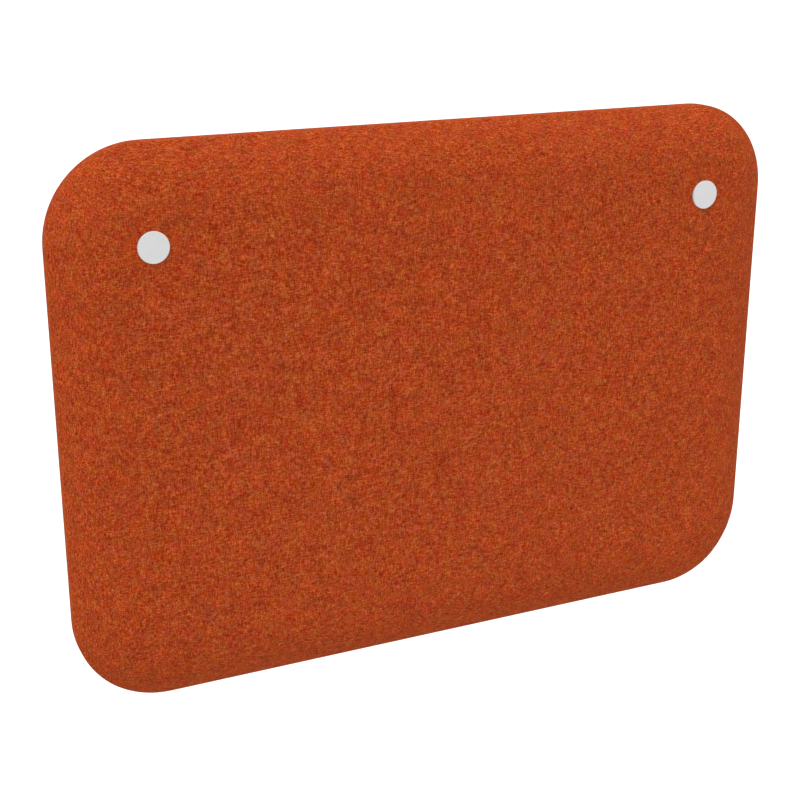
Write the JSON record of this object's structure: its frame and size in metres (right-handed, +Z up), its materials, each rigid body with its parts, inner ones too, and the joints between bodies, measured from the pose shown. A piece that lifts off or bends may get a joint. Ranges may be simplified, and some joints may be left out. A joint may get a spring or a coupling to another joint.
{
  "type": "acoustic divider screen",
  "caption": "Padded acoustic screen panel, rounded rectangle with a crowned felt face, carried by threaded fixings behind pull-off button caps.",
  "frame": {"origin": "midway between the two fixings, on the plane of their rear flanges", "axes": "+Z up, +X to the right as seen from the front, padded face towards -Y"},
  "size_m": [1, 0.0578, 0.708],
  "materials": {
    "felt": "matte",
    "wadding": "matte",
    "foam": "matte",
    "absorber": "matte",
    "frame_wood": "matte",
    "birch_plywood": "matte",
    "beech": "matte",
    "zinc_steel": "satin",
    "barrel_steel": "satin",
    "socket_plastic": "satin",
    "cap_plastic": "satin"
  },
  "bodies": {
    "panel": {"top_rail": "frame_wood", "bottom_rail": "frame_wood", "left_stile": "frame_wood", "right_stile": "frame_wood", "centre_stile": "frame_wood", "corner_block_top_left": "frame_wood", "corner_block_top_right": "frame_wood", "corner_block_bottom_left": "frame_wood", "corner_block_bottom_right": "frame_wood", "rear_board": "birch_plywood", "frame_dowels": "beech", "core_left": "absorber", "core_right": "absorber", "foam_pad": "foam", "wadding_layer": "wadding", "front_cover": "felt", "rear_cover": "felt", "board_screws": "zinc_steel", "cover_staples": "zinc_steel", "flange_screws": "zinc_steel", "socket_screws": "zinc_steel", "fixing_barrel_left": "barrel_steel", "fixing_barrel_right": "barrel_steel", "cap_socket_left": "socket_plastic", "cap_socket_right": "socket_plastic"},
    "left_cap": {"button_cap_left": "cap_plastic"},
    "right_cap": {"button_cap_right": "cap_plastic"}
  },
  "joints": [
    {"name": "left_cap_pull", "type": "slide", "parent": "panel", "child": "left_cap", "axis": [0, -1, 0], "range_m": [0, 0.008]},
    {"name": "right_cap_pull", "type": "slide", "parent": "panel", "child": "right_cap", "axis": [0, -1, 0], "range_m": [0, 0.008]}
  ]
}
